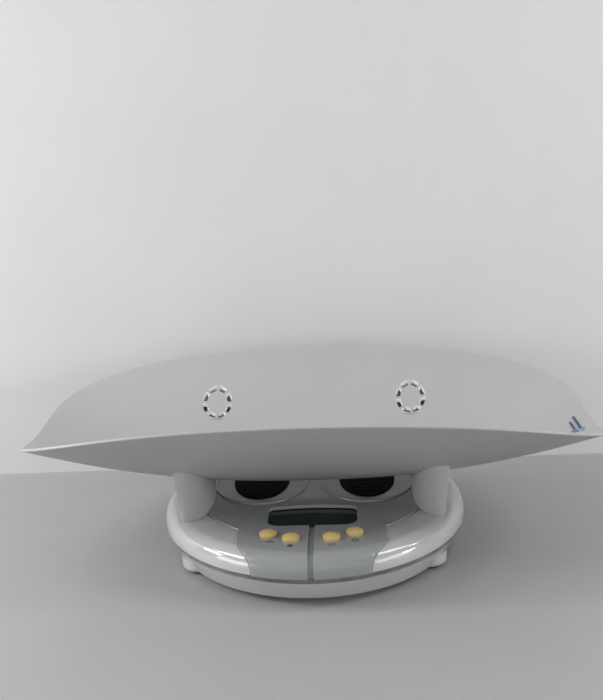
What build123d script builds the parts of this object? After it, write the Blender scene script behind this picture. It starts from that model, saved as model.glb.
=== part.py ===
from build123d import *
from math import atan2, cos, degrees, hypot, pi, sin
import os

# Digital tray scale for small animals: a step-on platform base with a lift-off tray on two posts.
# Millimetres. +X right, +Y back, +Z up. The origin is on the table, under the centre of the base.

# General clearances
part_gap = 0.3
face_gap = 0.3
screw_gap = 0.4
overlap = 0.5
past = 1.0
screw_head_ratio = 0.68
screw_slot_ratio = 0.6

# Platform cover: the glossy elliptical top moulding
cover_rx = 153.5
cover_ry = 163.0
cover_top_z = 51.0
cover_height = 19.2
cover_round = 15.5
cover_wall = 2.6
cover_bottom_z = cover_top_z - cover_height

# Lower housing, set in under the cover and tapering to the table
seam_gap = 1.5
seal_show = 4.0
housing_inset = 1.5
housing_taper = 12.0
housing_bottom_z = 5.5
housing_wall = 2.6
housing_round = 4.0
seal_wall = 2.2
seal_seat = 2.5
seal_inset = 1.2
housing_top_z = cover_bottom_z - seam_gap - seal_show
housing_rx = cover_rx - housing_inset
housing_ry = cover_ry - housing_inset
housing_slope = housing_taper / (housing_top_z - housing_bottom_z)

# Feet: round pods that stand proud of the housing, with a rubber pad under each
foot_edge = (42.0, 94.0)
foot_x = cover_rx - foot_edge[0]
foot_y = cover_ry - foot_edge[1]
pod_radius = 18.5
pod_round = 5.0
pod_clear_z = 2.2
pod_top_z = 15.0
pod_wall = 2.6
foot_radius = 13.0
foot_seat = 1.6
foot_round = 0.8

# Load cells: sheet-metal sensors on cradles above the feet
cell_x = foot_x - 9.0
cell_y = foot_y - 5.0
cell_size = 28.0
cell_plate = 2.5
cell_slot = 2.0
cell_tongue = 12.0
cell_button_radius = 4.0
cell_button_height = 2.0
cradle_wall = 4.5
cradle_top_z = 19.0
cell_screw_radius = 1.25
cell_screw_head = 2.4
cell_screw_length = 7.0

# How far the platform sinks on the load cells, and the air that leaves below it
sink_travel = 0.8
sink_clear = sink_travel + 0.4

# Battery bay: four AA cells side by side, behind a sliding door under the base
battery_count = 4
battery_radius = 7.1
battery_length = 49.0
battery_nub_radius = 2.7
battery_nub = 1.2
battery_spacing = 0.6
battery_pitch = 2 * battery_radius + battery_spacing
battery_crimp = 1.0
battery_chamfer = 0.5
battery_y = 45.0
bay_wall = 1.8
bay_gap = 0.5
spring_length = 4.5
spring_radius = 3.0
spring_wire = 0.5
spring_turns = 4
contact_plate = 0.5
contact_radius = 5.0
door_plate = 2.0
door_overlap = 4.0
door_rail = 2.0
door_gap = 0.2
grip_ribs = 5
grip_rib_pitch = 3.0
grip_rib_width = 1.2
grip_rib_height = 0.6

# Screws that hold the platform to the base and let it sink
tie_edge = (73.5, 61.0)
tie_x = cover_rx - tie_edge[0]
tie_y = cover_ry - tie_edge[1]
tie_boss_radius = 5.0
tie_shank_radius = 2.0
tie_head_radius = 3.8
tie_head_height = 2.2
tie_well_radius = 6.8
tie_floor = 2.0
tie_thread = 7.0
tie_slot = (2 * tie_head_radius, 1.0, 1.6)

# Support frame: the steel ring that carries the platform on the load cells
frame_x = foot_x + 7.5
frame_y = foot_y + 10.0
frame_band = 27.0
frame_corner = 14.0
frame_plate = 2.0
frame_air = 1.5
frame_screw_x = cell_x - 38.0
frame_screw_y = cell_y + 1.0
frame_boss_radius = 4.0
frame_screw_length = 8.0
load_pad_radius = 6.5

# Deck: the satin round panel inside the cover, with a raised oval rim around each tread
deck_edge = 35.5
deck_radius = min(cover_rx, cover_ry) - deck_edge
deck_plate = 2.6
deck_rise = 0.9
deck_groove = 0.9
deck_lip = 1.2
tread_x = 55.5
rim_rx = 50.0
rim_ry = 61.5
rim_y = 25.0
rim_width = 2.4
rim_height = 1.5
rim_round = 1.0
pad_rx = 29.0
pad_ry = 51.0
pad_y = 29.0
pad_height = 1.6
pad_seat = 0.8
pad_ribs = 9
pad_rib_width = 1.6
pad_rib_depth = 0.6
pad_rib_reach = 0.8

# Console: the shield-shaped control panel at the front. Its plan points are x and distance from the front
console_rise = 1.3
console_sink = 2.0
console_gap = 0.35
console_back = 3.0
console_edge = 0.6
console_plan = [(0, 125.5), (22, 124.4), (40, 120), (57, 104.5), (67, 82), (70, 63), (69, 46), (64, 24)]
console_half = [(x, y - cover_ry) for x, y in console_plan]
console_foot = (37, -cover_ry - 3)
console_turn = (-0.75, 1)
console_reach = 12.0
groove_width = 5.6
groove_depth = 2.2
console_screw_x = 60.5
console_screw_y = 67.0 - cover_ry

# Display: window, tinted lens, gasket, liquid-crystal module and its carrier
window_width = 87.0
window_depth = 50.0
window_y = 97.0 - cover_ry
window_round = 12.0
window_bow = 5.0
window_border = 2.0
gasket_height = 0.8
lens_height = 1.4
module_height = 4.2
module_border = 1.5
module_width = window_width + 2 * module_border
module_depth = window_depth - window_bow + 2 * module_border
module_y = window_y - window_bow / 2
carrier_height = 2.2
stack_gap = 0.1

# Buttons: four domed caps that press a rubber mat
outer_button = (40.5, 52.0 - cover_ry)
inner_button = (19.0, 42.5 - cover_ry)
button_places = {
    "zero": (-outer_button[0], outer_button[1]),
    "hold": (-inner_button[0], inner_button[1]),
    "units": inner_button,
    "power": outer_button,
}
button_radius = 8.3
button_gap = 0.35
button_flange = 1.4
button_flange_height = 1.6
button_proud = 2.2
button_dome = 2.8
button_travel = 1.2
button_stem_radius = 3.0
button_root = 1.0
mat_plate = 1.6
mat_width = 100.0
mat_depth = 26.0
mat_y = 48.5 - cover_ry
mat_round = 4.0
nub_radius = 3.4
nub_height = 1.6

# Control board under the console
board_width = 100.0
board_front = 26.0 - cover_ry
board_back = 113.0 - cover_ry
board_plate = 1.6
board_hole_inset = 4.0
board_hole_back = 65.0 - cover_ry
board_boss_radius = 3.0
board_screw_radius = 1.25
board_screw_head = 2.4
board_screw_length = 6.0
opening_margin = 1.5

# Tray: a superellipse in plan, curved up front and back, with lower ends
tray_rx = 284.8
tray_ry = 144.8
tray_power = 3.64
tray_bottom_z = 71.3
tray_side_rise = 95.9
tray_side_power = 2.03
tray_side_fade = 0.464
tray_end_rise = 46.5
tray_end_power = 2.35
tray_wall = 3.0
tray_rows = 27
tray_columns = 41
tray_outline_points = 64
tray_margin = 1.05

# Slotted rosettes in the tray's back wall, with a blind socket behind each
rosette_x = 107.5
rosette_y = 97.3
rosette_radius = 16.3
rosette_hub = 11.3
rosette_slots = 8
rosette_spoke = 2.6
rosette_boss_wall = 2.2
rosette_boss_depth = 11.0
rosette_floor = 2.0

# Posts: D-shaped legs under the tray that stand in sockets in the cover
post_inner_x = cover_rx - 53.0
post_outer_x = cover_rx - 24.0
post_front_y = -73.0
post_back_y = 27.0
post_oval_x = cover_rx - 32.0
post_outer_round = 7.0
post_flare_z = 112.0
post_flare_in = 4.0
post_flare_out = 4.5
post_flare_end = 11.0
socket_depth = 12.5
socket_gap = 0.5
socket_wall = 2.4
socket_floor = 2.0

# Wiring inside the base
lead_radius = 0.9
plug_size = (16.0, 8.0, 6.0)
plug_y = -46.0
lead_start = 0.9 * cell_size
lead_turn_x = 38.0
lead_tail = 8.0
plug_inset = 3.0

post_mid_y = (post_front_y + post_back_y) / 2
post_length = post_back_y - post_front_y
deck_top_z = cover_top_z + deck_rise
deck_under_z = cover_top_z - deck_plate
pan_under_z = deck_under_z - cover_wall
console_under_z = cover_top_z - console_sink
flange_under_z = console_under_z - cover_wall
socket_bottom_z = cover_top_z - socket_depth
frame_top_z = socket_bottom_z - socket_floor - frame_air
frame_bottom_z = frame_top_z - frame_plate
cell_top_z = cradle_top_z + cell_plate
floor_z = housing_bottom_z + housing_wall
gasket_bottom_z = console_under_z - stack_gap - gasket_height
lens_bottom_z = gasket_bottom_z - stack_gap - lens_height
module_bottom_z = lens_bottom_z - stack_gap - module_height
carrier_bottom_z = module_bottom_z - stack_gap - carrier_height
board_top_z = carrier_bottom_z - stack_gap
board_bottom_z = board_top_z - board_plate
bay_half_x = battery_count * battery_pitch / 2 + bay_gap
bay_length = battery_length + battery_nub + spring_length + contact_plate
bay_front_y = battery_y - bay_length / 2
bay_back_y = battery_y + bay_length / 2
battery_z = housing_bottom_z + battery_radius + bay_gap
bay_top_z = battery_z + battery_radius + bay_gap
corners = [(sx, sy) for sx in (-1, 1) for sy in (-1, 1)]
corner_names = {(-1, -1): "front_left", (1, -1): "front_right", (-1, 1): "rear_left", (1, 1): "rear_right"}


def cylinder(x, y, radius, low, high):
    return Pos(x, y, low) * extrude(Circle(radius), high - low)


def block(x0, x1, y0, y1, z0, z1):
    return Pos((x0 + x1) / 2, (y0 + y1) / 2, (z0 + z1) / 2) * Box(x1 - x0, y1 - y0, z1 - z0)


def slab(sketch, low, high):
    return Pos(0, 0, low) * extrude(sketch, high - low)


def group(solids):
    return Compound(children=list(solids))


def dome(inset):
    """The cover's outer form, moved inwards by inset."""
    top = cover_top_z - inset
    body = slab(Ellipse(cover_rx - inset, cover_ry - inset), cover_bottom_z, top)
    return fillet(body.edges().group_by(Axis.Z)[-1], cover_round - inset)


def console_outline(grow):
    """Plan of the console panel, symmetric about the YZ plane, grown outwards."""
    half = []
    for i, (x, y) in enumerate(console_half):
        before = console_half[i - 1] if i else (-console_half[1][0], console_half[1][1])
        after = console_half[i + 1] if i + 1 < len(console_half) else console_foot
        run = (after[0] - before[0], after[1] - before[1])
        length = hypot(*run)
        half.append((x - grow * run[1] / length, y + grow * run[0] / length))
    left = [(-x, y) for x, y in reversed(half[1:])]
    foot_x, foot_y = console_foot[0] + grow, console_foot[1] - console_reach
    turn_x, turn_y = console_turn
    curve = Spline(left + half, tangents=[(turn_x, turn_y), (turn_x, -turn_y)])
    skirt = Polyline(half[-1], (foot_x, foot_y), (-foot_x, foot_y), left[0])
    return make_face(curve + skirt)


def post_outline(grow, grow_in=0, grow_out=0, grow_end=0):
    """D-shaped section of the right-hand post: an oval cut off flat on the outer side, grown outwards."""
    reach = post_oval_x - post_inner_x + grow + grow_in
    half_length = post_length / 2 + grow + grow_end
    oval = Pos(post_oval_x, post_mid_y) * Ellipse(reach, half_length)
    side_x = post_outer_x + grow + grow_out
    width = side_x - post_oval_x + reach + past
    d = oval & Pos(side_x - width / 2, post_mid_y) * Rectangle(width, 2 * (half_length + past))
    return fillet(d.vertices(), post_outer_round + grow)


def both_sides(right):
    return [mirror(right, about=Plane.YZ), right]


def window_outline(grow):
    """Display window: a rounded slot with a gently bowed back edge."""
    base = RectangleRounded(window_width + 2 * grow, window_depth + 2 * grow, window_round + grow)
    half_width = window_width / 2
    bow_radius = (half_width**2 + window_bow**2) / (2 * window_bow)
    arc = Pos(0, window_depth / 2 - bow_radius) * Circle(bow_radius + grow)
    return Pos(0, window_y) * (base & arc)


def board_opening():
    """Hole under the console that the board and the display pass through."""
    width = board_width + 2 * opening_margin
    depth = board_back - board_front + 2 * opening_margin
    board_hole = Pos(0, (board_back + board_front) / 2) * RectangleRounded(width, depth, 2 * opening_margin)
    module_hole = Rectangle(module_width + 2 * part_gap, module_depth + 2 * part_gap)
    return board_hole + window_outline(window_border + part_gap) + Pos(0, module_y) * module_hole


def board_holes():
    x = board_width / 2 - board_hole_inset
    return [(sx * x, y) for sx in (-1, 1) for y in (board_front + board_hole_inset, board_hole_back)]


def top_cover():
    body = dome(0) - dome(cover_wall)
    body += cylinder(0, 0, deck_radius + deck_groove + cover_wall, pan_under_z, cover_top_z) & dome(0)
    flange = slab(console_outline(console_back), cover_bottom_z, cover_top_z)
    body += (dome(console_sink) - dome(console_sink + cover_wall)) & flange
    socket = slab(post_outline(socket_gap + socket_wall), socket_bottom_z - socket_floor, cover_top_z)
    for shell in both_sides(socket & dome(0)):
        body += shell
    body -= cylinder(0, 0, deck_radius + deck_groove, deck_under_z, cover_top_z + past)
    body -= slab(console_outline(console_gap), cover_bottom_z, cover_top_z + past) - dome(console_sink)
    body -= slab(board_opening(), socket_bottom_z, cover_top_z)
    for pocket in both_sides(slab(post_outline(socket_gap), socket_bottom_z, cover_top_z + past)):
        body -= pocket
    for sx, sy in corners:
        tie = (sx * tie_x, sy * tie_y)
        body += cylinder(*tie, tie_boss_radius, cover_bottom_z, cover_top_z - cover_wall / 2)
        body -= cylinder(*tie, tie_shank_radius, cover_bottom_z, cover_bottom_z + tie_thread)
        boss_top = flange_under_z if sy < 0 else pan_under_z
        screw_place = (sx * frame_screw_x, sy * frame_screw_y)
        body += cylinder(*screw_place, frame_boss_radius, frame_top_z, boss_top + overlap)
        body -= cylinder(*screw_place, cell_screw_radius, frame_top_z, boss_top - past)
    for sx in (-1, 1):
        hole_radius = cell_screw_radius + screw_gap
        body -= cylinder(sx * console_screw_x, console_screw_y, hole_radius, pan_under_z - past, cover_top_z)
    return body


def tread_place(sx, y):
    return Pos(sx * tread_x, y)


def deck_panel():
    body = cylinder(0, 0, deck_radius, deck_under_z, deck_top_z)
    body = fillet(body.edges().group_by(Axis.Z)[-1], deck_lip)
    for sx in (-1, 1):
        ring = Ellipse(rim_rx, rim_ry) - Ellipse(rim_rx - rim_width, rim_ry - rim_width)
        rim = slab(tread_place(sx, rim_y) * ring, deck_top_z - overlap, deck_top_z + rim_height)
        body += fillet(rim.edges().group_by(Axis.Z)[-1], rim_round)
        seat = tread_place(sx, pad_y) * Ellipse(pad_rx + part_gap, pad_ry + part_gap)
        body -= slab(seat, deck_top_z - pad_seat, deck_top_z + past)
    body -= slab(console_outline(console_gap), deck_under_z - past, deck_top_z + rim_height + past)
    post_pocket = slab(post_outline(socket_gap), deck_under_z - past, deck_top_z + rim_height + past)
    for pocket in both_sides(post_pocket):
        body -= pocket
    return body


def tread_pad(sx):
    low = deck_top_z - pad_seat
    body = slab(tread_place(sx, pad_y) * Ellipse(pad_rx, pad_ry), low, low + pad_height + pad_seat)
    body = fillet(body.edges().group_by(Axis.Z)[-1], pad_rib_depth)
    pitch = 2 * pad_ry / (pad_ribs + 1)
    for i in range(pad_ribs):
        y = pad_y - pad_ry + (i + 1) * pitch
        half = pad_rib_reach * pad_rx * (1 - ((y - pad_y) / pad_ry) ** 2) ** 0.5
        top = low + pad_height + pad_seat
        x0, x1 = sx * tread_x - half, sx * tread_x + half
        body -= block(x0, x1, y, y + pad_rib_width, top - pad_rib_depth, top + past)
    return body


def console_panel():
    skin = dome(-console_rise) - dome(console_sink)
    body = skin & slab(console_outline(0), cover_bottom_z, cover_top_z + console_rise + past)
    body = fillet(body.edges().group_by(Axis.Z)[-1].sort_by(SortBy.LENGTH)[-1], console_edge)
    groove = block(-groove_width / 2, groove_width / 2, -2 * cover_ry, window_y, 0, 2 * cover_top_z)
    body -= groove - dome(groove_depth - console_rise)
    body = fillet(body.edges().group_by(Axis.Z)[-1].filter_by(Axis.Y), console_edge)
    body -= slab(window_outline(0), 0, 2 * cover_top_z)
    for x, y in button_places.values():
        body -= cylinder(x, y, button_radius + button_gap, 0, 2 * cover_top_z)
    for x, y in board_holes():
        body += cylinder(x, y, board_boss_radius, board_top_z, console_under_z + overlap)
        body -= cylinder(x, y, board_screw_radius, board_top_z, console_under_z - past)
    hole_top = console_under_z + console_sink / 2
    for sx in (-1, 1):
        body -= cylinder(sx * console_screw_x, console_screw_y, cell_screw_radius, 0, hole_top)
    return body


def display_gasket():
    ring = window_outline(window_border) - window_outline(0)
    return slab(ring, gasket_bottom_z, gasket_bottom_z + gasket_height)


def display_lens():
    return slab(window_outline(window_border), lens_bottom_z, lens_bottom_z + lens_height)


def display_module():
    plan = Pos(0, module_y) * Rectangle(module_width, module_depth)
    return slab(plan, module_bottom_z, module_bottom_z + module_height)


def display_carrier():
    rail = 4 * module_border
    ring = Rectangle(module_width, module_depth) - Rectangle(module_width - rail, module_depth - rail)
    return slab(Pos(0, module_y) * ring, carrier_bottom_z, carrier_bottom_z + carrier_height)


def control_board():
    depth = board_back - board_front
    plan = Pos(0, (board_back + board_front) / 2) * Rectangle(board_width, depth)
    body = slab(plan, board_bottom_z, board_top_z)
    for x, y in board_holes():
        body -= cylinder(x, y, board_screw_radius + screw_gap, board_bottom_z - past, board_top_z + past)
    return body


def board_screws():
    sizes = (board_screw_radius, board_screw_head, board_screw_length)
    return group(screw(x, y, board_bottom_z, *sizes) for x, y in board_holes())


def screw(x, y, seat_z, radius, head_radius, length):
    """Pan-head screw driven upwards, its head under seat_z, with a cross recess."""
    head_height = head_radius * screw_head_ratio
    body = cylinder(x, y, head_radius, seat_z - head_height, seat_z)
    body = fillet(body.edges().group_by(Axis.Z)[0], head_height / 2)
    body += cylinder(x, y, radius, seat_z, seat_z + length)
    slot = head_radius * screw_slot_ratio
    for angle in (0, 90):
        recess = Rotation(0, 0, angle) * Box(2 * slot, slot / 2, head_height)
        body -= Pos(x, y, seat_z - head_height) * recess
    return body


def keypad_mat():
    low = board_top_z + stack_gap
    body = slab(Pos(0, mat_y) * RectangleRounded(mat_width, mat_depth, mat_round), low, low + mat_plate)
    for x, y in button_places.values():
        body += cylinder(x, y, nub_radius, low + mat_plate, low + mat_plate + nub_height)
    return body


def button(x, y):
    flange_top = console_under_z - part_gap
    crown = cover_top_z + console_rise + button_proud
    body = cylinder(x, y, button_radius, flange_top - button_root, crown)
    cap_radius = (button_radius**2 + button_dome**2) / (2 * button_dome)
    cap = Pos(x, y, crown + button_dome - cap_radius) * Sphere(cap_radius)
    body += cap & cylinder(x, y, button_radius, crown, crown + button_dome + past)
    body += cylinder(x, y, button_radius + button_flange, flange_top - button_flange_height, flange_top)
    stem_low = board_top_z + stack_gap + mat_plate + nub_height + button_travel + part_gap
    body += cylinder(x, y, button_stem_radius, stem_low, flange_top)
    return body


def console_screws():
    places = [(sx * console_screw_x, console_screw_y) for sx in (-1, 1)]
    length = console_under_z - pan_under_z + console_sink / 2 - part_gap
    return group(screw(x, y, pan_under_z, cell_screw_radius, cell_screw_head, length) for x, y in places)


def support_frame():
    outer = RectangleRounded(2 * frame_x, 2 * frame_y, frame_corner)
    inner = RectangleRounded(2 * (frame_x - frame_band), 2 * (frame_y - frame_band), frame_corner)
    body = slab(outer - inner, frame_bottom_z, frame_top_z)
    for sx, sy in corners:
        body += cylinder(sx * cell_x, sy * cell_y, load_pad_radius, pad_contact_z(), frame_bottom_z)
        x, y = sx * frame_screw_x, sy * frame_screw_y
        body -= cylinder(x, y, cell_screw_radius + screw_gap, frame_bottom_z - past, frame_top_z + past)
    return body


def pad_contact_z():
    return cell_top_z + cell_button_height + sink_clear


def frame_screws():
    sizes = (cell_screw_radius, cell_screw_head, frame_screw_length)
    return group(
        screw(sx * frame_screw_x, sy * frame_screw_y, frame_bottom_z, *sizes)
        for sx, sy in corners
    )


def tie_screws():
    """Shouldered screws from below: the heads hang free in wells, so that the platform can sink."""
    seat = tie_well_roof() - part_gap
    solids = []
    for sx, sy in corners:
        x, y = sx * tie_x, sy * tie_y
        body = cylinder(x, y, tie_head_radius, seat - tie_head_height, seat)
        body += cylinder(x, y, tie_shank_radius, seat, cover_bottom_z + tie_thread - past)
        body -= Pos(x, y, seat - tie_head_height) * Box(*tie_slot)
        solids.append(body)
    return group(solids)


def tie_well_roof():
    return housing_bottom_z + tie_head_height + sink_clear + part_gap


def housing_form(inset, low, high):
    """The tapered elliptical body of the lower housing, moved inwards by inset."""
    lower = housing_slope * (housing_top_z - low) + inset
    upper = housing_slope * (housing_top_z - high) + inset
    base = Pos(0, 0, low) * Ellipse(housing_rx - lower, housing_ry - lower)
    rim = Pos(0, 0, high) * Ellipse(housing_rx - upper, housing_ry - upper)
    return loft([base, rim])


def cell_turn(sx, sy):
    return degrees(atan2(sy * cell_y, sx * cell_x))


def cradle(sx, sy):
    inner = cell_size - 2 * cradle_wall
    ring = Rectangle(cell_size, cell_size) - Rectangle(inner, inner)
    plan = Pos(sx * cell_x, sy * cell_y) * (Rotation(0, 0, cell_turn(sx, sy)) * ring)
    return slab(plan, housing_bottom_z + housing_wall / 2, cradle_top_z)


def battery_slot(i):
    return (i - (battery_count - 1) / 2) * battery_pitch


def lower_housing():
    body = housing_form(0, housing_bottom_z, housing_top_z)
    body = fillet(body.edges().group_by(Axis.Z)[0], housing_round)
    for sx, sy in corners:
        pod = cylinder(sx * foot_x, sy * foot_y, pod_radius, pod_clear_z, pod_top_z)
        body += fillet(pod.edges().group_by(Axis.Z)[0], pod_round)
    body -= housing_form(housing_wall, floor_z, housing_top_z)
    for sx, sy in corners:
        pod = (sx * foot_x, sy * foot_y)
        body -= cylinder(*pod, pod_radius - pod_wall, pod_clear_z + 2 * pod_wall, pod_top_z)
        body -= cylinder(*pod, foot_radius + part_gap, pod_clear_z - past, pod_clear_z + foot_seat)
        body += cradle(sx, sy)
        for x, y in cell_screw_places(sx, sy):
            body -= cylinder(x, y, cell_screw_radius, cradle_top_z - cell_screw_length, cradle_top_z)
        tie = (sx * tie_x, sy * tie_y)
        body += cylinder(*tie, tie_well_radius, housing_bottom_z + past, tie_well_roof() + tie_floor)
        body -= cylinder(*tie, tie_head_radius + screw_gap, 0, tie_well_roof())
        body -= cylinder(*tie, tie_shank_radius + screw_gap, 0, housing_top_z)
    outer = (bay_half_x + bay_wall, bay_front_y - bay_wall, bay_back_y + bay_wall)
    body += block(-outer[0], outer[0], outer[1], outer[2], housing_bottom_z, bay_top_z + bay_wall)
    body -= block(-bay_half_x, bay_half_x, bay_front_y, bay_back_y, 0, bay_top_z)
    body += door_rails()
    return body


def door_half_x():
    return bay_half_x + door_overlap


def door_rails():
    inner = door_half_x() + door_gap
    low = housing_bottom_z - door_gap - door_plate - door_gap - door_rail / 2
    front, back = bay_front_y - door_overlap, bay_back_y + door_overlap
    rails = []
    for sx in (-1, 1):
        x0, x1 = sorted((sx * inner, sx * (inner + door_rail)))
        rails.append(block(x0, x1, front, back, low, housing_bottom_z + past))
        x0, x1 = sorted((sx * (inner - door_rail), sx * (inner + door_rail)))
        rails.append(block(x0, x1, front, back, low, low + door_rail / 2))
    return rails


def battery_door():
    top = housing_bottom_z - door_gap
    half = door_half_x()
    body = block(-half, half, bay_front_y - door_overlap, bay_back_y + door_overlap, top - door_plate, top)
    for i in range(grip_ribs):
        y = bay_back_y - 2 * door_overlap - i * grip_rib_pitch
        low = top - door_plate - grip_rib_height
        body += block(-half / 3, half / 3, y, y + grip_rib_width, low, top - door_plate / 2)
    return body


def battery_ends(i):
    """Neighbouring cells face opposite ways: returns the direction of the positive end."""
    return 1 if i % 2 == 0 else -1


def along_y(x, y0, y1, z, radius):
    return Pos(x, (y0 + y1) / 2, z) * (Rotation(90, 0, 0) * Cylinder(radius, y1 - y0))


def battery_cells():
    solids = []
    for i in range(battery_count):
        way = battery_ends(i)
        x = battery_slot(i)
        positive_y = battery_y + way * (bay_length / 2 - contact_plate - stack_gap)
        shoulder_y = positive_y - way * battery_nub
        base_y = shoulder_y - way * (battery_length - battery_crimp)
        body = along_y(x, *sorted((shoulder_y, base_y)), battery_z, battery_radius)
        body = chamfer(body.edges().filter_by(GeomType.CIRCLE), battery_chamfer)
        solids.append(body + along_y(x, *sorted((shoulder_y, positive_y)), battery_z, battery_nub_radius))
    return group(solids)


def battery_contacts():
    solids = []
    for i in range(battery_count):
        end_y = battery_y + battery_ends(i) * bay_length / 2
        inner_y = end_y - battery_ends(i) * contact_plate
        y0, y1 = sorted((end_y, inner_y))
        solids.append(along_y(battery_slot(i), y0, y1, battery_z, contact_radius))
    return group(solids)


def battery_springs():
    solids = []
    for i in range(battery_count):
        way = battery_ends(i)
        wall_y = battery_y - way * (bay_length / 2 - spring_wire)
        height = spring_length - 2 * spring_wire
        path = Helix(pitch=height / spring_turns, height=height, radius=spring_radius)
        wire = sweep(Plane(origin=path @ 0, z_dir=path % 0) * Circle(spring_wire / 2), path)
        turn = -90 if way > 0 else 90
        solids.append(Pos(battery_slot(i), wall_y, battery_z) * (Rotation(turn, 0, 0) * wire))
    return group(solids)


def dust_seal():
    low = housing_top_z - seal_seat
    high = housing_top_z + seal_show
    tucked = housing_wall + housing_slope * seal_seat + stack_gap
    inner = tucked + seal_wall
    seated = slab(Ellipse(housing_rx - tucked, housing_ry - tucked), low, high)
    shown = slab(Ellipse(housing_rx - seal_inset, housing_ry - seal_inset), housing_top_z + stack_gap, high)
    return seated + shown - slab(Ellipse(housing_rx - inner, housing_ry - inner), low - past, high + past)


def rubber_foot(sx, sy):
    body = cylinder(sx * foot_x, sy * foot_y, foot_radius, 0, pod_clear_z + foot_seat - stack_gap)
    return fillet(body.edges().group_by(Axis.Z)[0], foot_round)


def cell_screw_places(sx, sy):
    angle = atan2(sy * cell_y, sx * cell_x)
    reach = (cell_size - cradle_wall) / 2
    across = (-sin(angle), cos(angle))
    return [(sx * cell_x + k * reach * across[0], sy * cell_y + k * reach * across[1]) for k in (-1, 1)]


def load_cell(sx, sy):
    plate = Rectangle(cell_size, cell_size)
    arm = cell_size / 2 - cradle_wall
    cut = Rectangle(2 * arm, 2 * arm) - Rectangle(2 * (arm - cell_slot), 2 * (arm - cell_slot))
    plate -= cut - Pos(-arm, 0) * Rectangle(2 * cell_slot + past, cell_tongue)
    plan = Pos(sx * cell_x, sy * cell_y) * (Rotation(0, 0, cell_turn(sx, sy)) * plate)
    body = slab(plan, cradle_top_z, cell_top_z)
    for x, y in cell_screw_places(sx, sy):
        body -= cylinder(x, y, cell_screw_radius + screw_gap, cradle_top_z - past, cell_top_z + past)
    button_top = cell_top_z + cell_button_height
    return body + cylinder(sx * cell_x, sy * cell_y, cell_button_radius, cell_top_z, button_top)


def load_cell_screws():
    solids = []
    shank = (cell_screw_radius - stack_gap / 2, cell_screw_head, cell_screw_length - cell_plate)
    upright = screw(0, 0, 0, *shank)
    for sx, sy in corners:
        for x, y in cell_screw_places(sx, sy):
            solids.append(Pos(x, y, cell_top_z) * (Rotation(180, 0, 0) * upright))
    return group(solids)


def sensor_plug():
    sx, sy, sz = plug_size
    return block(-sx / 2, sx / 2, plug_y - sy / 2, plug_y + sy / 2, floor_z, floor_z + sz)


def sensor_leads():
    """A lead from each load cell, along the housing floor and past the battery bay, to the plug."""
    solids = []
    low = floor_z + 2 * lead_radius
    for sx, sy in corners:
        start = (sx * (cell_x - lead_start), sy * (cell_y - lead_start), low)
        end = (sx * (plug_size[0] / 2 - plug_inset), plug_y + sy * (plug_size[1] / 2 + part_gap), low)
        before = (end[0], end[1] + sy * lead_tail, low)
        path = Polyline(start, (sx * lead_turn_x, before[1], low), before, end)
        start_plane = Plane(origin=path @ 0, z_dir=path % 0)
        solids.append(sweep(start_plane * Circle(lead_radius), path, transition=Transition.ROUND))
    return group(solids)


def tray_height(x, y):
    """Height of the tray's underside."""
    u, v = abs(x) / tray_rx, abs(y) / tray_ry
    side = tray_side_rise * (1 - tray_side_fade * u**2) * v**tray_side_power
    return tray_bottom_z + side + tray_end_rise * u**tray_end_power


def tray_slope_length(x, y):
    step = overlap
    dx = (tray_height(x + step, y) - tray_height(x - step, y)) / (2 * step)
    dy = (tray_height(x, y + step) - tray_height(x, y - step)) / (2 * step)
    return hypot(1, hypot(dx, dy))


def above_tray(lift):
    """Everything above the underside raised by lift, measured square to the wall."""
    rows = []
    for i in range(tray_columns):
        x = tray_rx * tray_margin * (2 * i / (tray_columns - 1) - 1)
        row = []
        for j in range(tray_rows):
            y = tray_ry * tray_margin * (2 * j / (tray_rows - 1) - 1)
            row.append(Vector(x, y, tray_height(x, y) + lift * tray_slope_length(x, y)))
        rows.append(row)
    sheet = Face.make_surface_from_array_of_points(rows, tol=0.02)
    return Solid.extrude(sheet, Vector(0, 0, tray_side_rise * 2))


def tray_plan():
    points = []
    for i in range(tray_outline_points):
        angle = 2 * pi * i / tray_outline_points
        c, s = cos(angle), sin(angle)
        reach = (abs(c) ** tray_power + abs(s) ** tray_power) ** (-1 / tray_power)
        points.append((tray_rx * reach * c, tray_ry * reach * s))
    return make_face(Spline(points, periodic=True))


def rosette_slot_sketch():
    ring = Circle(rosette_radius) - Circle(rosette_hub)
    for i in range(rosette_slots // 2):
        ring -= Rotation(0, 0, i * 360 / rosette_slots) * Rectangle(3 * rosette_radius, rosette_spoke)
    return ring


def tray():
    top = tray_bottom_z + 2 * tray_side_rise
    column = slab(tray_plan(), tray_bottom_z - past, top)
    under, over = above_tray(0), above_tray(tray_wall)
    body = column & under
    body -= over
    base_z = tray_height(rosette_x, rosette_y) - rosette_boss_depth
    for sx in (-1, 1):
        boss = cylinder(sx * rosette_x, rosette_y, rosette_radius + rosette_boss_wall, base_z, top)
        cup = cylinder(sx * rosette_x, rosette_y, rosette_radius, base_z + rosette_floor, top)
        body += (boss - cup) - under
        plug = cylinder(sx * rosette_x, rosette_y, rosette_radius, base_z, base_z + rosette_floor)
        body += (boss & plug) - under
        body -= slab(Pos(sx * rosette_x, rosette_y) * rosette_slot_sketch(), base_z + rosette_floor, top)
    return body


def post_blank():
    """The right-hand post before the tray's underside trims it."""
    low = socket_bottom_z + face_gap
    foot = slab(post_outline(0), low, cover_top_z)
    top = Pos(0, 0, post_flare_z) * post_outline(0, post_flare_in, post_flare_out, post_flare_end)
    upper = loft([Pos(0, 0, cover_top_z) * post_outline(0), top])
    return foot + upper


def posts():
    right = post_blank() - above_tray(0)
    return {"left_post": mirror(right, about=Plane.YZ), "right_post": right}


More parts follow.
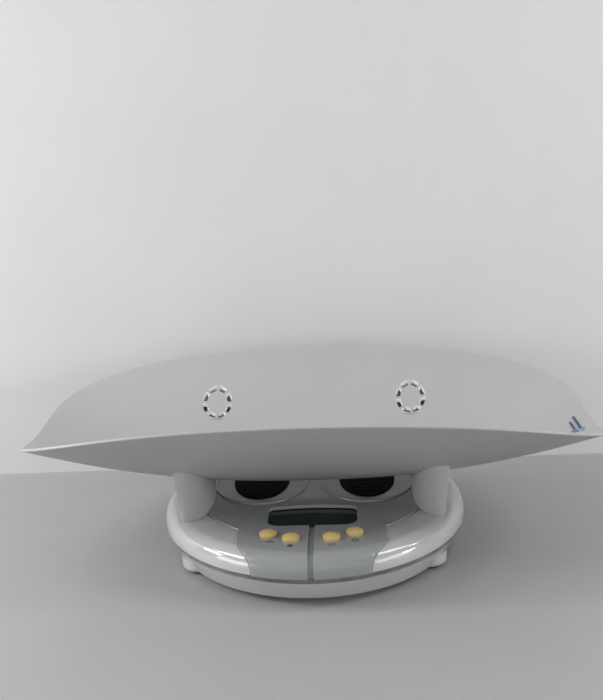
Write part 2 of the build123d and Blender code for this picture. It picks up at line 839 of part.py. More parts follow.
def all_nodes():
    nodes = {
        "lower_housing": lower_housing(),
        "dust_seal": dust_seal(),
        "load_cell_screws": load_cell_screws(),
        "sensor_plug": sensor_plug(),
        "sensor_leads": sensor_leads(),
        "battery_cells": battery_cells(),
        "battery_contacts": battery_contacts(),
        "battery_springs": battery_springs(),
        "battery_door": battery_door(),
        "top_cover": top_cover(),
        "deck_panel": deck_panel(),
        "left_tread_pad": tread_pad(-1),
        "right_tread_pad": tread_pad(1),
        "console_panel": console_panel(),
        "console_screws": console_screws(),
        "display_gasket": display_gasket(),
        "display_lens": display_lens(),
        "display_module": display_module(),
        "display_carrier": display_carrier(),
        "control_board": control_board(),
        "board_screws": board_screws(),
        "keypad_mat": keypad_mat(),
        "support_frame": support_frame(),
        "frame_screws": frame_screws(),
        "tie_screws": tie_screws(),
        "tray": tray(),
    }
    nodes.update(posts())
    for (sx, sy), name in corner_names.items():
        nodes["foot_" + name] = rubber_foot(sx, sy)
        nodes["load_cell_" + name] = load_cell(sx, sy)
    for name, (x, y) in button_places.items():
        nodes["button_" + name] = button(x, y)
    return nodes


os.makedirs("parts", exist_ok=True)
for node, shape in all_nodes().items():
    export_step(shape, "parts/" + node + ".step")
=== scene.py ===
# %% [markdown]
# # A digital tray scale
# The scale has a low, almost round platform that a person can stand on, a control console at its
# front, and a long curved tray on two posts for a small animal. The CAD model already holds every
# size and joint. This lesson gives each piece the surface that the real one has, and rebuilds the
# pieces whose look depends on a smooth mesh, such as the tray.

import math

import bmesh
import bpy
from mathutils import Matrix, Vector


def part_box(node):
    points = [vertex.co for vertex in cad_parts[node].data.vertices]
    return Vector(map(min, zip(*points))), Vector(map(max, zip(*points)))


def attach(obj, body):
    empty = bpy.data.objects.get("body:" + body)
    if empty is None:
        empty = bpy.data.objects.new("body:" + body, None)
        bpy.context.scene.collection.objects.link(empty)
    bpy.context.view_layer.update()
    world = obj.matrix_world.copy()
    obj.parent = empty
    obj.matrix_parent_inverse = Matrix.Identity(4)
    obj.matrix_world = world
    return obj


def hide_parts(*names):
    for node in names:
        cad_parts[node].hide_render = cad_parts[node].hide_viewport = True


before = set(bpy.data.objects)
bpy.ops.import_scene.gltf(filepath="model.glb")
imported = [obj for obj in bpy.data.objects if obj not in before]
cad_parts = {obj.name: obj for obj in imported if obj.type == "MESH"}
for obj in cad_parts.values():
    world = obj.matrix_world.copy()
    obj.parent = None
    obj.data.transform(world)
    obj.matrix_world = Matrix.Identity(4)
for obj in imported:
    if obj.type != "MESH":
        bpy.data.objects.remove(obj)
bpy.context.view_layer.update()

# %% [markdown]
# ## The camera
# The camera stands about a metre in front of the scale, a little above it and slightly to the
# right. Its direction is given by three turns: left, down and a small roll. Building the matrix
# from the three directions keeps the roll exact, where Euler angles would depend on their order.

# %% Place the camera
CAMERA_PLACE = Vector((0.03699, -1.01744, 0.45796))
TURN_LEFT = math.radians(2.467)
LOOK_DOWN = math.radians(14.121)
ROLL = math.radians(-2.408)
LENS_MM = 53.85
SENSOR_MM = 36.0


def camera_matrix():
    forward = Vector((
        -math.sin(TURN_LEFT) * math.cos(LOOK_DOWN),
        math.cos(TURN_LEFT) * math.cos(LOOK_DOWN),
        -math.sin(LOOK_DOWN),
    ))
    level = Vector((math.cos(TURN_LEFT), math.sin(TURN_LEFT), 0))
    upright = level.cross(forward)
    right = level * math.cos(ROLL) + upright * math.sin(ROLL)
    up = upright * math.cos(ROLL) - level * math.sin(ROLL)
    turn = Matrix((right, up, -forward)).transposed().to_4x4()
    return Matrix.Translation(CAMERA_PLACE) @ turn


camera_data = bpy.data.cameras.new("camera")
camera_data.lens = LENS_MM
camera_data.sensor_width = SENSOR_MM
camera_data.sensor_fit = "AUTO"
camera = bpy.data.objects.new("camera", camera_data)
bpy.context.scene.collection.objects.link(camera)
camera.matrix_world = camera_matrix()
bpy.context.scene.camera = camera
bpy.context.scene.view_settings.view_transform = "Standard"
print("camera at", tuple(round(v, 3) for v in CAMERA_PLACE), "lens", LENS_MM, "mm")

# %% [markdown]
# ## Helpers for meshes
# A finished piece is a plain mesh whose object stays at the origin. These helpers make an object
# from a bmesh, smooth it, and turn a piece with modifiers into a plain mesh.


# %% Mesh helpers
def new_object(name, mesh):
    piece = bpy.data.objects.new(name, mesh)
    bpy.context.scene.collection.objects.link(piece)
    return piece


def from_bmesh(name, bm):
    mesh = bpy.data.meshes.new(name)
    bm.to_mesh(mesh)
    bm.free()
    return new_object(name, mesh)


def smooth_by_angle(mesh, degrees):
    """Smooth shading everywhere, with edges sharper than the angle kept crisp."""
    mesh.shade_smooth()
    bm = bmesh.new()
    bm.from_mesh(mesh)
    for edge in bm.edges:
        if len(edge.link_faces) == 2:
            edge.smooth = edge.calc_face_angle(0) < math.radians(degrees)
    bm.to_mesh(mesh)
    bm.free()


def bake_modifiers(piece):
    """Replaces a piece by the plain mesh that its modifiers make."""
    bpy.context.view_layer.update()
    evaluated = piece.evaluated_get(bpy.context.evaluated_depsgraph_get())
    mesh = bpy.data.meshes.new_from_object(evaluated)
    piece.modifiers.clear()
    old = piece.data
    piece.data = mesh
    mesh.name = piece.name
    if isinstance(old, bpy.types.Mesh) and old.users == 0:
        bpy.data.meshes.remove(old)
    return piece


def prism(bm, lower_ring, upper_ring):
    """Adds the closed solid between two rings of points."""
    lower = [bm.verts.new(point) for point in lower_ring]
    upper = [bm.verts.new(point) for point in upper_ring]
    bm.faces.new(lower[::-1])
    bm.faces.new(upper)
    for i in range(len(lower)):
        j = (i + 1) % len(lower)
        bm.faces.new((lower[i], lower[j], upper[j], upper[i]))


print("helpers ready")

# %% [markdown]
# ## Moulded plastics
# Every white part is injection-moulded ABS, in two finishes. The rim and the housing are
# polished, with a clear, mirror-like gloss. The tray, the deck and the console have a fine spark-
# eroded texture, which scatters light. One function makes both, from a base colour, a roughness
# and the depth of the texture. Two noises, one coarse and one fine, keep the colour and the gloss
# from being perfectly even, and a third adds the small rubbed spots that years of wiping leave.


# %% Plastic material
def start_material(name):
    material = bpy.data.materials.new(name)
    material.use_nodes = True
    nodes = material.node_tree.nodes
    return material, material.node_tree, nodes["Principled BSDF"]


def noise(tree, scale, detail=3.0, roughness=0.5):
    coordinates = tree.nodes.new("ShaderNodeTexCoord")
    texture = tree.nodes.new("ShaderNodeTexNoise")
    texture.inputs["Scale"].default_value = scale
    texture.inputs["Detail"].default_value = detail
    texture.inputs["Roughness"].default_value = roughness
    tree.links.new(coordinates.outputs["Object"], texture.inputs["Vector"])
    return texture


def ramp(tree, source, stops):
    node = tree.nodes.new("ShaderNodeValToRGB")
    elements = node.color_ramp.elements
    while len(elements) < len(stops):
        elements.new(0.5)
    for element, (place, colour) in zip(elements, stops):
        element.position = place
        element.color = (*colour, 1.0)
    tree.links.new(source, node.inputs["Fac"])
    return node


def spread(tree, source, low, high):
    node = tree.nodes.new("ShaderNodeMapRange")
    node.inputs["To Min"].default_value = low
    node.inputs["To Max"].default_value = high
    tree.links.new(source, node.inputs["Value"])
    return node


def bump(tree, shader, source, distance, strength=1.0):
    node = tree.nodes.new("ShaderNodeBump")
    node.inputs["Distance"].default_value = distance
    node.inputs["Strength"].default_value = strength
    tree.links.new(source, node.inputs["Height"])
    tree.links.new(node.outputs["Normal"], shader.inputs["Normal"])


def colour_by(tree, shader, source, stops):
    """Colours the surface by a ramp over a texture."""
    tone = ramp(tree, source, stops)
    tree.links.new(tone.outputs["Color"], shader.inputs["Base Color"])


def roughen_by(tree, shader, source, low, high):
    """Varies the roughness between two values over a texture."""
    gloss = spread(tree, source, low, high)
    tree.links.new(gloss.outputs["Result"], shader.inputs["Roughness"])


CLOUD_SCALE = 9.0
SMEAR_SCALE = 38.0
SCUFF_SCALE = 140.0
RUBBED_ROUGHNESS = 0.04
ABS_IOR = 1.5
COAT_ROUGHNESS = 0.04
BLACK = (0.0, 0.0, 0.0)
WHITE = (1.0, 1.0, 1.0)


def moulded_plastic(
    name, colour, roughness, grain_size=0.0, grain_depth=0.0, coat=0.0, tint=0.03
):
    material, tree, shader = start_material(name)
    cloud = noise(tree, CLOUD_SCALE)
    darker = tuple(c * (1 - tint) for c in colour)
    colour_by(tree, shader, cloud.outputs["Fac"], [(0.3, darker), (0.7, colour)])
    smear = noise(tree, SMEAR_SCALE, 4.0)
    gloss = spread(tree, smear.outputs["Fac"], roughness * 0.85, roughness * 1.15)
    scuffs = noise(tree, SCUFF_SCALE, 6.0, 0.7)
    worn = ramp(tree, scuffs.outputs["Fac"], [(0.62, BLACK), (0.80, WHITE)])
    rubbed = tree.nodes.new("ShaderNodeMath")
    rubbed.operation = "MULTIPLY_ADD"
    tree.links.new(worn.outputs["Color"], rubbed.inputs[0])
    rubbed.inputs[1].default_value = RUBBED_ROUGHNESS
    tree.links.new(gloss.outputs["Result"], rubbed.inputs[2])
    tree.links.new(rubbed.outputs["Value"], shader.inputs["Roughness"])
    shader.inputs["IOR"].default_value = ABS_IOR
    shader.inputs["Coat Weight"].default_value = coat
    shader.inputs["Coat Roughness"].default_value = COAT_ROUGHNESS
    if grain_depth:
        grain = noise(tree, 1 / grain_size, 2.0)
        bump(tree, shader, grain.outputs["Fac"], grain_depth)
    return material


tray_white = moulded_plastic("tray_white", (0.40, 0.40, 0.395), 0.42, 0.0011, 0.00003)
gloss_white = moulded_plastic("gloss_white", (0.50, 0.50, 0.51), 0.14, coat=0.5, tint=0.015)
satin_white = moulded_plastic("satin_white", (0.29, 0.30, 0.30), 0.24, 0.0009, 0.00001, coat=0.35)
key_yellow = moulded_plastic("key_yellow", (0.64, 0.47, 0.18), 0.28, 0.0012, 0.00002, coat=0.2)
carrier_grey = moulded_plastic("carrier_grey", (0.62, 0.62, 0.60), 0.45)
plug_cream = moulded_plastic("plug_cream", (0.80, 0.78, 0.70), 0.4)
cell_wrap = moulded_plastic("cell_wrap", (0.05, 0.05, 0.055), 0.25, coat=0.3)
plastics = (
    tray_white, gloss_white, satin_white, key_yellow, carrier_grey, plug_cream, cell_wrap
)
print("plastics:", [plastic.name for plastic in plastics])

# %% [markdown]
# ## Rubbers, metals, glass and the circuit board
# The treads and feet are dark rubber with a dull bloom. The seal is a softer brown-grey. Zinc
# plating shows faint crystal patches, so its roughness and colour follow a Voronoi pattern.


# %% Other materials
BLOOM_SCALE = 60.0
BLOOM_PALER = 1.6
RUBBER_SPECULAR = 0.12
RUBBER_GRAIN = 0.0008
RUBBER_GRAIN_DEPTH = 0.00004
CRYSTAL_SCALE = 220.0
WINDOW_SMEAR_SCALE = 22.0
WINDOW_DARK = (0.018, 0.031, 0.025)
WINDOW_PALE = (0.027, 0.046, 0.037)
ACRYLIC_IOR = 1.49
WEAVE_SCALE = 700.0
BOARD_DARK = (0.010, 0.10, 0.035)
BOARD_PALE = (0.016, 0.14, 0.05)


def rubber(name, colour, roughness):
    material, tree, shader = start_material(name)
    bloom = noise(tree, BLOOM_SCALE, 5.0)
    paler = tuple(min(1.0, c * BLOOM_PALER) for c in colour)
    colour_by(tree, shader, bloom.outputs["Fac"], [(0.35, colour), (0.75, paler)])
    shader.inputs["Roughness"].default_value = roughness
    shader.inputs["Specular IOR Level"].default_value = RUBBER_SPECULAR
    grain = noise(tree, 1 / RUBBER_GRAIN, 3.0)
    bump(tree, shader, grain.outputs["Fac"], RUBBER_GRAIN_DEPTH)
    return material


def plated_steel(name, colour, roughness):
    material, tree, shader = start_material(name)
    coordinates = tree.nodes.new("ShaderNodeTexCoord")
    crystals = tree.nodes.new("ShaderNodeTexVoronoi")
    crystals.inputs["Scale"].default_value = CRYSTAL_SCALE
    tree.links.new(coordinates.outputs["Object"], crystals.inputs["Vector"])
    darker = tuple(c * 0.8 for c in colour)
    patches = crystals.outputs["Distance"]
    colour_by(tree, shader, patches, [(0.1, colour), (0.8, darker)])
    roughen_by(tree, shader, patches, roughness * 0.8, roughness * 1.3)
    shader.inputs["Metallic"].default_value = 1.0
    return material


def tinted_window(name):
    """The display window: almost black-green, polished, with faint smears."""
    material, tree, shader = start_material(name)
    smear = noise(tree, WINDOW_SMEAR_SCALE, 4.0)
    colour_by(tree, shader, smear.outputs["Fac"], [(0.3, WINDOW_DARK), (0.75, WINDOW_PALE)])
    roughen_by(tree, shader, smear.outputs["Fac"], 0.10, 0.18)
    shader.inputs["IOR"].default_value = ACRYLIC_IOR
    return material


def circuit_board(name):
    material, tree, shader = start_material(name)
    weave = noise(tree, WEAVE_SCALE, 2.0)
    colour_by(tree, shader, weave.outputs["Fac"], [(0.3, BOARD_DARK), (0.7, BOARD_PALE)])
    shader.inputs["Roughness"].default_value = 0.35
    shader.inputs["Coat Weight"].default_value = 0.4
    return material


tread_black = rubber("tread_black", (0.0005, 0.0005, 0.0008), 0.8)
foot_black = rubber("foot_black", (0.03, 0.03, 0.03), 0.7)
foam_black = rubber("foam_black", (0.006, 0.006, 0.006), 0.85)
seal_brown = rubber("seal_brown", (0.16, 0.145, 0.13), 0.6)
keypad_grey = rubber("keypad_grey", (0.35, 0.35, 0.34), 0.6)
lead_red = rubber("lead_red", (0.30, 0.02, 0.02), 0.45)
zinc_steel = plated_steel("zinc_steel", (0.60, 0.61, 0.63), 0.35)
spring_steel = plated_steel("spring_steel", (0.75, 0.75, 0.77), 0.18)
window_green = tinted_window("window_green")
board_green = circuit_board("board_green")
print("materials so far:", len(bpy.data.materials))

# %% [markdown]
# ## Finishes for the CAD pieces
# Most CAD pieces already have the right shape, so they only need a finish. Each one keeps its CAD
# mesh, and one table says which finish belongs to which piece. The mesh could be modelled again
# here, but a second model of the same part would only bring small differences.

# %% Finish the CAD pieces
FINISHES = {
    "lower_housing": gloss_white, "top_cover": gloss_white, "battery_door": gloss_white,
    "deck_panel": satin_white, "console_panel": satin_white,
    "tray": tray_white, "left_post": tray_white, "right_post": tray_white,
    "left_tread_pad": tread_black, "right_tread_pad": tread_black,
    "dust_seal": seal_brown, "display_gasket": foam_black,
    "display_lens": window_green, "display_module": window_green,
    "display_carrier": carrier_grey, "control_board": board_green, "keypad_mat": keypad_grey,
    "support_frame": zinc_steel, "console_screws": zinc_steel, "board_screws": zinc_steel,
    "frame_screws": zinc_steel, "tie_screws": zinc_steel, "load_cell_screws": zinc_steel,
    "battery_cells": cell_wrap, "battery_contacts": spring_steel,
    "battery_springs": spring_steel, "sensor_leads": lead_red, "sensor_plug": plug_cream,
}
for corner in ("front_left", "front_right", "rear_left", "rear_right"):
    FINISHES["foot_" + corner] = foot_black
    FINISHES["load_cell_" + corner] = zinc_steel
KEYS = ("zero", "hold", "units", "power")
for key in KEYS:
    FINISHES["button_" + key] = key_yellow

for name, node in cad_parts.items():
    node.data.materials.clear()
    node.data.materials.append(FINISHES[name])
print("finished", len(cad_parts), "CAD pieces")

# %% [markdown]
# ## The tray
# The tray is one long moulding. In plan its edge is a superellipse, a shape between an ellipse
# and a rectangle. Its floor rises towards the front and back as a power of the distance from the
# middle line, and towards the ends as another power. Both rules are short formulas, so Geometry
# Nodes can bend a flat grid into the tray: each point of a square is first pulled in to the
# superellipse, then lifted.

# %% Tray sizes
TRAY = {
    "Half Length": 0.2848, "Half Depth": 0.1448, "Corner Power": 3.64,
    "Floor Height": 0.0713, "Side Rise": 0.0959, "Side Power": 2.03, "Side Fade": 0.464,
    "End Rise": 0.0465, "End Power": 2.35,
}
TRAY_WALL = 0.003
GRID_ALONG = 181
GRID_ACROSS = 121
RIM_ROUND = 0.0009
RIM_SEGMENTS = 3
RIM_ANGLE = 50
CRISP_ANGLE = 35


def tray_underside(x, y):
    u, v = abs(x) / TRAY["Half Length"], abs(y) / TRAY["Half Depth"]
    side = TRAY["Side Rise"] * (1 - TRAY["Side Fade"] * u * u) * v ** TRAY["Side Power"]
    return TRAY["Floor Height"] + side + TRAY["End Rise"] * u ** TRAY["End Power"]


def tray_normal(x, y, step=0.0005):
    dx = (tray_underside(x + step, y) - tray_underside(x - step, y)) / (2 * step)
    dy = (tray_underside(x, y + step) - tray_underside(x, y - step)) / (2 * step)
    return Vector((-dx, -dy, 1)).normalized()


low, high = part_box("tray")
cad_length = round(high[0] - low[0], 4)
print("CAD tray is", cad_length, "m long; the formula gives", 2 * TRAY["Half Length"])


# %% Node helpers
def math_node(tree, operation, *values):
    node = tree.nodes.new("ShaderNodeMath")
    node.operation = operation
    for socket, value in zip(node.inputs, values):
        if isinstance(value, (int, float)):
            socket.default_value = value
        else:
            tree.links.new(value, socket)
    return node.outputs[0]


def new_tree(name, number_inputs):
    tree = bpy.data.node_groups.new(name, "GeometryNodeTree")
    tree.interface.new_socket("Geometry", in_out="INPUT", socket_type="NodeSocketGeometry")
    for label in number_inputs:
        tree.interface.new_socket(label, in_out="INPUT", socket_type="NodeSocketFloat")
    tree.interface.new_socket("Material", in_out="INPUT", socket_type="NodeSocketMaterial")
    tree.interface.new_socket("Geometry", in_out="OUTPUT", socket_type="NodeSocketGeometry")
    return tree, tree.nodes.new("NodeGroupInput"), tree.nodes.new("NodeGroupOutput")


def end_tree(tree, given, out, geometry):
    """Ends a tree in Realize Instances and Set Material."""
    real = tree.nodes.new("GeometryNodeRealizeInstances")
    tree.links.new(geometry, real.inputs["Geometry"])
    paint = tree.nodes.new("GeometryNodeSetMaterial")
    tree.links.new(real.outputs["Geometry"], paint.inputs["Geometry"])
    tree.links.new(given.outputs["Material"], paint.inputs["Material"])
    tree.links.new(paint.outputs["Geometry"], out.inputs["Geometry"])


def run_tree(name, tree, values):
    """Runs a tree on an empty mesh with the given inputs, and returns the plain mesh object."""
    piece = new_object(name, bpy.data.meshes.new(name))
    modifier = piece.modifiers.new(name, "NODES")
    modifier.node_group = tree
    for item in tree.interface.items_tree:
        if item.in_out == "INPUT" and item.name in values:
            modifier[item.identifier] = values[item.name]
    return bake_modifiers(piece)


print("node helpers ready")


# %% Tray tree
NEVER_ZERO = 1e-9  # keeps the root finite in the middle of the tray


def tray_tree():
    tree, given, out = new_tree("tray_surface", list(TRAY))
    size = given.outputs

    def calc(operation, *values):
        return math_node(tree, operation, *values)

    grid = tree.nodes.new("GeometryNodeMeshGrid")
    grid.inputs["Size X"].default_value = 2.0
    grid.inputs["Size Y"].default_value = 2.0
    grid.inputs["Vertices X"].default_value = GRID_ALONG
    grid.inputs["Vertices Y"].default_value = GRID_ACROSS
    place = tree.nodes.new("GeometryNodeInputPosition")
    split = tree.nodes.new("ShaderNodeSeparateXYZ")
    tree.links.new(place.outputs["Position"], split.inputs["Vector"])
    u, v = split.outputs["X"], split.outputs["Y"]
    along, across = calc("ABSOLUTE", u), calc("ABSOLUTE", v)
    longest = calc("MAXIMUM", along, across)
    power = size["Corner Power"]
    total = calc("ADD", calc("POWER", along, power), calc("POWER", across, power))
    root = calc("POWER", calc("ADD", total, NEVER_ZERO), calc("DIVIDE", -1.0, power))
    pull = calc("MULTIPLY", longest, root)
    x, y = calc("MULTIPLY", u, pull), calc("MULTIPLY", v, pull)
    far_x, far_y = calc("ABSOLUTE", x), calc("ABSOLUTE", y)
    fade = calc("MULTIPLY", size["Side Fade"], calc("MULTIPLY", x, x))
    side = calc("MULTIPLY", size["Side Rise"], calc("SUBTRACT", 1.0, fade))
    side = calc("MULTIPLY", side, calc("POWER", far_y, size["Side Power"]))
    end = calc("MULTIPLY", size["End Rise"], calc("POWER", far_x, size["End Power"]))
    z = calc("ADD", size["Floor Height"], calc("ADD", side, end))
    point = tree.nodes.new("ShaderNodeCombineXYZ")
    tree.links.new(calc("MULTIPLY", x, size["Half Length"]), point.inputs["X"])
    tree.links.new(calc("MULTIPLY", y, size["Half Depth"]), point.inputs["Y"])
    tree.links.new(z, point.inputs["Z"])
    move = tree.nodes.new("GeometryNodeSetPosition")
    tree.links.new(grid.outputs["Mesh"], move.inputs["Geometry"])
    tree.links.new(point.outputs["Vector"], move.inputs["Position"])
    end_tree(tree, given, out, move.outputs["Geometry"])
    return tree


tray = run_tree("tray_shell", tray_tree(), {**TRAY, "Material": tray_white})
print("tray surface:", len(tray.data.polygons), "faces")

# %% [markdown]
# ## The rosettes in the tray's back wall
# Two rings of eight slots are moulded through the back wall, where a clip-on accessory would fit.
# The mould opens upwards, so the slots run straight down even though the wall slopes. The tray is
# first given its thickness, then a Boolean takes the slots away, and a small bevel rounds the
# rim.

# %% Cut the rosettes
ROSETTE_X = 0.1075
ROSETTE_Y = 0.0973
ROSETTE_OUTER = 0.0163
ROSETTE_INNER = 0.0113
SPOKE = 0.0026
SLOTS = 8
SLOT_STEPS = 6
BOSS_WALL = 0.0022
BOSS_DEPTH = 0.011
BOSS_FLOOR = 0.002
BOSS_REACH = 0.0012
CUTTER_HEIGHT = 0.05


def slot_cutter(bm, centre_x, turn):
    """Adds one vertical arc-shaped prism between two spokes."""
    ring = []
    for radius, order in ((ROSETTE_OUTER, 1), (ROSETTE_INNER, -1)):
        half = math.pi / SLOTS - math.asin(SPOKE / 2 / radius)
        steps = range(SLOT_STEPS + 1)
        angles = [turn + half * (2 * i / SLOT_STEPS - 1) for i in steps][::order]
        for a in angles:
            ring.append((centre_x + radius * math.cos(a), ROSETTE_Y + radius * math.sin(a)))
    bottom = tray_underside(centre_x, ROSETTE_Y) - BOSS_DEPTH + BOSS_FLOOR
    top = bottom + CUTTER_HEIGHT
    prism(bm, [(x, y, bottom) for x, y in ring], [(x, y, top) for x, y in ring])


def thicken(piece, wall):
    solid = piece.modifiers.new("wall", "SOLIDIFY")
    solid.thickness = wall
    solid.offset = 1.0
    solid.use_even_offset = True
    return piece


def cut(piece, cutter):
    boolean = piece.modifiers.new("slots", "BOOLEAN")
    boolean.operation = "DIFFERENCE"
    boolean.solver = "EXACT"
    boolean.object = cutter
    bake_modifiers(piece)
    bpy.data.objects.remove(cutter)


bm = bmesh.new()
for side in (-1, 1):
    for i in range(SLOTS):
        slot_cutter(bm, side * ROSETTE_X, (i + 0.5) * 2 * math.pi / SLOTS)
slots = from_bmesh("slot_cutter", bm)
bake_modifiers(thicken(tray, TRAY_WALL))
round_rim = tray.modifiers.new("rim", "BEVEL")
round_rim.width = RIM_ROUND
round_rim.segments = RIM_SEGMENTS
round_rim.limit_method = "ANGLE"
round_rim.angle_limit = math.radians(RIM_ANGLE)
bake_modifiers(tray)
cut(tray, slots)
smooth_by_angle(tray.data, CRISP_ANGLE)
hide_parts("tray")
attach(tray, "tray_unit")
print("tray mesh:", len(tray.data.polygons), "faces")


# %% Sockets behind the rosettes
BOSS_SIDES = 64


def rosette_socket(side):
    """A blind round socket under the back wall, reaching just into the wall."""
    cx = side * ROSETTE_X
    base = tray_underside(cx, ROSETTE_Y) - BOSS_DEPTH
    floor = base + BOSS_FLOOR
    outer_r, inner_r = ROSETTE_OUTER + BOSS_WALL, ROSETTE_OUTER
    bm = bmesh.new()
    rows = []
    for radius, height in ((outer_r, None), (outer_r, base), (inner_r, floor), (inner_r, None)):
        row = []
        for i in range(BOSS_SIDES):
            a = 2 * math.pi * i / BOSS_SIDES
            x, y = cx + radius * math.cos(a), ROSETTE_Y + radius * math.sin(a)
            z = height
            if height is None:
                z = max(tray_underside(x, y) + BOSS_REACH, floor)
            row.append(bm.verts.new((x, y, z)))
        rows.append(row)
    for inner, outer in ((0, 1), (2, 3), (3, 0)):
        for i in range(BOSS_SIDES):
            j = (i + 1) % BOSS_SIDES
            bm.faces.new((rows[inner][i], rows[outer][i], rows[outer][j], rows[inner][j]))
    bm.faces.new(rows[1][::-1])
    bm.faces.new(rows[2])
    bmesh.ops.recalc_face_normals(bm, faces=bm.faces)
    piece = from_bmesh("rosette_socket_" + ("left" if side < 0 else "right"), bm)
    piece.data.materials.append(tray_white)
    smooth_by_angle(piece.data, CRISP_ANGLE)
    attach(piece, "tray_unit")
    return piece


sockets = [rosette_socket(side) for side in (-1, 1)]
print("sockets:", [s.name for s in sockets])

# %% [markdown]
# ## Printed marks
# A word under each key says what it does on the real scale. Simple pictograms say the same
# without words: an arrow that ends in a circle for zero, a padlock for hold, two arrows for units
# and the usual ring with a bar for on and off. They are very thin plates that lie on the console,
# as screen printing does.

# %% Ink
INK_SPECKLE_SCALE = 900.0
INK_DARK = (0.045, 0.05, 0.07)
INK_PALE = (0.09, 0.095, 0.12)


def printing_ink(name):
    material, tree, shader = start_material(name)
    speckle = noise(tree, INK_SPECKLE_SCALE, 2.0)
    colour_by(tree, shader, speckle.outputs["Fac"], [(0.35, INK_DARK), (0.75, INK_PALE)])
    shader.inputs["Roughness"].default_value = 0.5
    return material


ink_grey = printing_ink("ink_grey")
ink_blue = moulded_plastic("ink_blue", (0.03, 0.17, 0.42), 0.45)
print("inks:", ink_grey.name, ink_blue.name)

# %% Shapes of the pictograms
ICON_LINE = 0.13
STROKE_OVERRUN = 0.35  # of the width, so that the quads of a bent line meet


def stroke(points, width):
    """Outline polygons, as quads, of a line of the given width through plan points."""
    quads = []
    for (x0, y0), (x1, y1) in zip(points, points[1:]):
        length = math.hypot(x1 - x0, y1 - y0)
        nx, ny = -(y1 - y0) / length * width / 2, (x1 - x0) / length * width / 2
        ex = (x1 - x0) / length * width * STROKE_OVERRUN
        ey = (y1 - y0) / length * width * STROKE_OVERRUN
        quads.append([
            (x0 - nx - ex, y0 - ny - ey), (x1 - nx + ex, y1 - ny + ey),
            (x1 + nx + ex, y1 + ny + ey), (x0 + nx - ex, y0 + ny - ey),
        ])
    return quads


def arc(cx, cy, radius, start, stop, steps=20):
    turn = math.radians(stop - start)
    return [
        (cx + radius * math.cos(math.radians(start) + turn * i / steps),
         cy + radius * math.sin(math.radians(start) + turn * i / steps))
        for i in range(steps + 1)
    ]


def icon_shapes(key):
    """Polygons of a pictogram about one unit high, around the origin."""
    if key == "zero":
        ring = stroke(arc(0.45, 0, 0.3, 0, 360), ICON_LINE)
        shaft = stroke([(-0.85, 0), (-0.1, 0)], ICON_LINE)
        return ring + shaft + [[(-0.1, 0.24), (-0.1, -0.24), (0.14, 0)]]
    if key == "hold":
        body = [[(-0.36, -0.42), (0.36, -0.42), (0.36, 0.1), (-0.36, 0.1)]]
        return body + stroke(arc(0, 0.1, 0.24, 0, 180), ICON_LINE)
    if key == "units":
        there = stroke([(-0.5, 0.2), (0.3, 0.2)], ICON_LINE)
        there.append([(0.3, 0.42), (0.3, -0.02), (0.6, 0.2)])
        back = stroke([(0.5, -0.2), (-0.3, -0.2)], ICON_LINE)
        back.append([(-0.3, 0.02), (-0.3, -0.42), (-0.6, -0.2)])
        return there + back
    ring = stroke(arc(0, -0.03, 0.4, 125, 415), ICON_LINE)
    return ring + stroke([(0, 0.02), (0, 0.5)], ICON_LINE)


print("polygons in each pictogram:", {key: len(icon_shapes(key)) for key in KEYS})

# %% Marks under the keys
ICON_SIZE = 0.0068
ICON_BELOW_KEY = 0.0052
INK_SINK = 0.00002
INK_THICK = 0.00008


def print_mark(name, shapes, surface, bottom, top, material):
    """Makes thin plates between two lifts above a surface, one for each polygon."""
    bm = bmesh.new()
    for polygon in shapes:
        prism(bm, *([surface(x, y, lift) for x, y in polygon] for lift in (bottom, top)))
    bmesh.ops.recalc_face_normals(bm, faces=bm.faces)
    mark = from_bmesh(name, bm)
    mark.data.materials.append(material)
    return mark


def on_console(x, y, lift):
    return x, y, CONSOLE_TOP + lift


CONSOLE_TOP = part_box("console_panel")[1][2]
for key in KEYS:
    low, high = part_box("button_" + key)
    cx, cy = (low[0] + high[0]) / 2, low[1] - ICON_BELOW_KEY
    placed = [
        [(cx + x * ICON_SIZE, cy + y * ICON_SIZE) for x, y in polygon]
        for polygon in icon_shapes(key)
    ]
    mark = print_mark("mark_" + key, placed, on_console, -INK_SINK, INK_THICK - INK_SINK, ink_grey)
    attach(mark, "platform")
print("printed marks for", KEYS)

# %% [markdown]
# A small printed mark near the tray's right end is replaced with a plain paw print and two bars,
# which belong to nobody. The flat shapes are laid on the tray's inner face, and each point is
# lifted by the wall's thickness along the surface normal.

# %% Generic mark on the tray
MARK_X = 0.2640
MARK_Y = -0.018
PAW_PAD = (0.0042, 0.0052)
PAW_TOE = (0.0019, 0.0015)
TOE_PLACES = ((0.0062, -0.0058), (0.0082, -0.0018), (0.0082, 0.0030), (0.0058, 0.0068))
BAR_X = MARK_X + 0.005
BAR_PITCH = 0.0052
BAR_WIDTH = 0.0026
BAR_ENDS = ((0.002, 0.040), (0.006, 0.030))
PRINT_BOTTOM = 0.00003
PRINT_TOP = 0.00012


def on_tray(x, y, lift):
    base = Vector((x, y, tray_underside(x, y)))
    return base + tray_normal(x, y) * (TRAY_WALL + lift)


def disc(cx, cy, rx, ry, steps=18):
    angles = [2 * math.pi * i / steps for i in range(steps)]
    return [(cx + rx * math.cos(a), cy + ry * math.sin(a)) for a in angles]


def print_on_tray(name, shapes, material):
    piece = print_mark(name, shapes, on_tray, PRINT_BOTTOM, PRINT_TOP, material)
    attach(piece, "tray_unit")


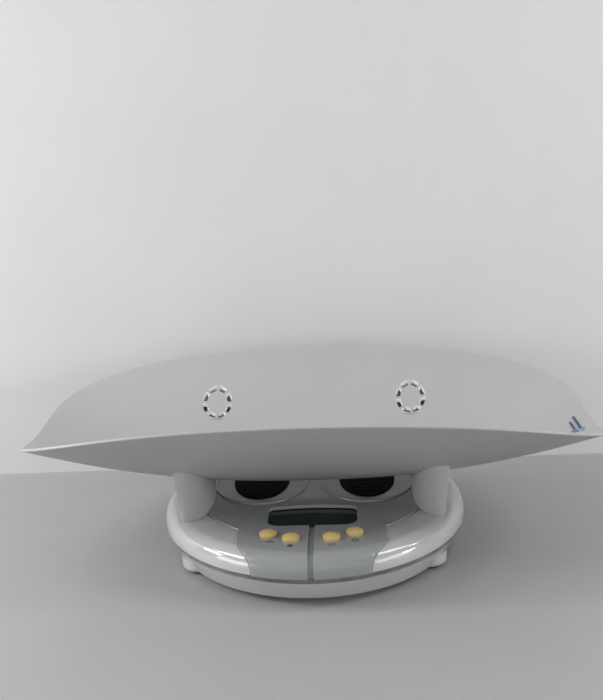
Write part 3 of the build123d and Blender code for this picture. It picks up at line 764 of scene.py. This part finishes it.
paw = [disc(MARK_X, MARK_Y, *PAW_PAD)]
for dx, dy in TOE_PLACES:
    paw.append(disc(MARK_X + dx, MARK_Y + dy, *PAW_TOE))
print_on_tray("mark_paw", paw, ink_blue)
bars = []
for i, (start, stop) in enumerate(BAR_ENDS):
    x0 = BAR_X - i * BAR_PITCH
    x1, y0, y1 = x0 + BAR_WIDTH, MARK_Y + start, MARK_Y + stop
    bars.append([(x0, y0), (x1, y0), (x1, y1), (x0, y1)])
print_on_tray("mark_bars", bars, ink_grey)
print("paw print and bars at", MARK_X, MARK_Y)

# %% [markdown]
# ## Table, wall and light
# The scale stands on a pale table that ends at a white wall just behind it. Narrow lights high on
# both sides give the bright streaks along the glossy rim. Large, soft lights in front and low at
# both sides fill the shadows under the tray, and two more wash the wall.

# %% Stage
WALL_Y = 0.219
WALL_SLANT = 0.0225
WALL_FOOT = -0.5
WALL_TOP = 3.0
SPAN = 4.0


def stage_plane(name, corners, colour, roughness):
    mesh = bpy.data.meshes.new(name)
    mesh.from_pydata(corners, [], [(0, 1, 2, 3)])
    plane = new_object(name, mesh)
    mesh.materials.append(moulded_plastic(name + "_paint", colour, roughness, 0.002, 0.00002))


left_y, right_y = WALL_Y - WALL_SLANT * SPAN, WALL_Y + WALL_SLANT * SPAN
table_corners = [(-SPAN, -SPAN, 0), (SPAN, -SPAN, 0), (SPAN, right_y, 0), (-SPAN, left_y, 0)]
wall_foot = [(-SPAN, left_y, WALL_FOOT), (SPAN, right_y, WALL_FOOT)]
wall_corners = wall_foot + [(SPAN, right_y, WALL_TOP), (-SPAN, left_y, WALL_TOP)]
stage_plane("table", table_corners, (0.37, 0.37, 0.36), 0.45)
stage_plane("wall", wall_corners, (0.70, 0.70, 0.71), 0.6)
print("table and wall placed")


# %% Lights
def area_light(name, place, target, width, depth, power):
    data = bpy.data.lights.new(name, "AREA")
    data.shape = "RECTANGLE"
    data.size = width
    data.size_y = depth
    data.energy = power
    lamp = bpy.data.objects.new(name, data)
    bpy.context.scene.collection.objects.link(lamp)
    lamp.location = place
    aim = Vector(target) - Vector(place)
    lamp.rotation_euler = aim.to_track_quat("-Z", "Y").to_euler()


TARGET = (0, 0, 0.1)
ROOM_COLOUR = (0.80, 0.82, 0.85, 1)
ROOM_STRENGTH = 0.28
area_light("ceiling_left", (-1.10, 0.0, 1.60), TARGET, 0.20, 0.7, 4)
area_light("far_left", (-1.90, -0.23, 0.88), TARGET, 0.5, 0.14, 12)
area_light("ceiling_right", (1.60, -0.10, 1.15), TARGET, 0.14, 0.35, 3)
area_light("far_right", (1.95, -0.60, 0.62), TARGET, 0.4, 0.12, 4)
area_light("room_fill", (0.2, -2.4, 1.0), TARGET, 2.6, 1.2, 4.5)
area_light("low_left", (-1.7, -1.0, 0.42), TARGET, 1.0, 0.6, 11)
area_light("low_right", (1.7, -1.0, 0.42), TARGET, 1.0, 0.6, 9)
area_light("wall_wash_left", (-1.3, -0.3, 1.1), (-0.7, WALL_Y, 0.0), 0.8, 0.3, 9)
area_light("wall_wash_right", (1.2, -0.3, 1.3), (0.7, WALL_Y, 0.0), 0.8, 0.3, 6.5)
world = bpy.data.worlds.new("room")
bpy.context.scene.world = world
world.use_nodes = True
background = world.node_tree.nodes["Background"]
background.inputs["Color"].default_value = ROOM_COLOUR
background.inputs["Strength"].default_value = ROOM_STRENGTH
